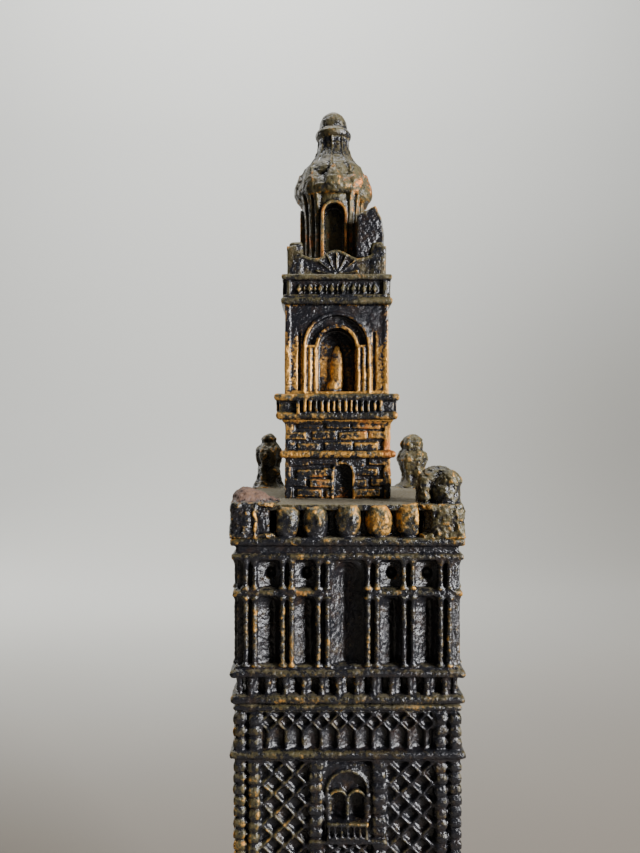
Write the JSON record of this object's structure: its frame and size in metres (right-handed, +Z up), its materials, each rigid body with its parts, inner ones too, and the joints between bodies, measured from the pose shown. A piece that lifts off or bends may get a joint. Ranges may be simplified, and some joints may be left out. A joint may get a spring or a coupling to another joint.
{
  "type": "miniature landmark tower",
  "caption": "Hollow-cast metal souvenir of a Spanish cathedral bell tower, in black and gold antique finish, with worn and broken corner pinnacles.",
  "frame": {"origin": "centre of the felt pad's underside, where the model rests", "axes": "+Z up the tower's axis, -Y out of the front face, +X to the front face's right as seen from in front"},
  "size_m": [0.046, 0.046, 0.2002],
  "materials": {
    "antique_brass": "black antique lacquer over brass-plated zinc casting, gold rubbed through on the high points, olive tarnish on mouldings",
    "rubbed_brass": "brass plating worn bright and coppery, with black left in the recesses",
    "dusty_deck": "dull dark casting under a film of grey dust",
    "broken_casting": "antique casting with a matt pinkish brown broken face on top",
    "felt": "short dark green felt",
    "zinc_steel": "zinc-plated threaded steel",
    "solder": "dull grey soft solder"
  },
  "bodies": {
    "root": {"felt_pad": "felt", "plinth": "antique_brass", "tie_rod": "zinc_steel", "tie_rod_washer": "zinc_steel", "tie_rod_nut": "zinc_steel", "shaft_wall_front": "antique_brass", "shaft_wall_right": "antique_brass", "shaft_wall_back": "antique_brass", "shaft_wall_left": "antique_brass", "shaft_solder_front_left": "solder", "shaft_solder_front_right": "solder", "shaft_solder_back_left": "solder", "shaft_solder_back_right": "solder", "string_plate": "antique_brass", "belfry_wall_front": "antique_brass", "belfry_wall_right": "antique_brass", "belfry_wall_back": "antique_brass", "belfry_wall_left": "antique_brass", "belfry_solder_front_left": "solder", "belfry_solder_front_right": "solder", "belfry_solder_back_left": "solder", "belfry_solder_back_right": "solder", "deck_plate": "dusty_deck", "pinnacle_front_left": "broken_casting", "pinnacle_front_right": "antique_brass", "pinnacle_back_left": "antique_brass", "pinnacle_back_right": "antique_brass", "clock_stage": "rubbed_brass", "stage_cornice": "antique_brass", "arch_stage": "rubbed_brass", "frieze_block": "antique_brass", "crown_parapet": "antique_brass", "crown_jar": "antique_brass", "lantern_drum": "antique_brass", "lantern_dome": "rubbed_brass", "top_ball": "antique_brass"}
  },
  "joints": []
}
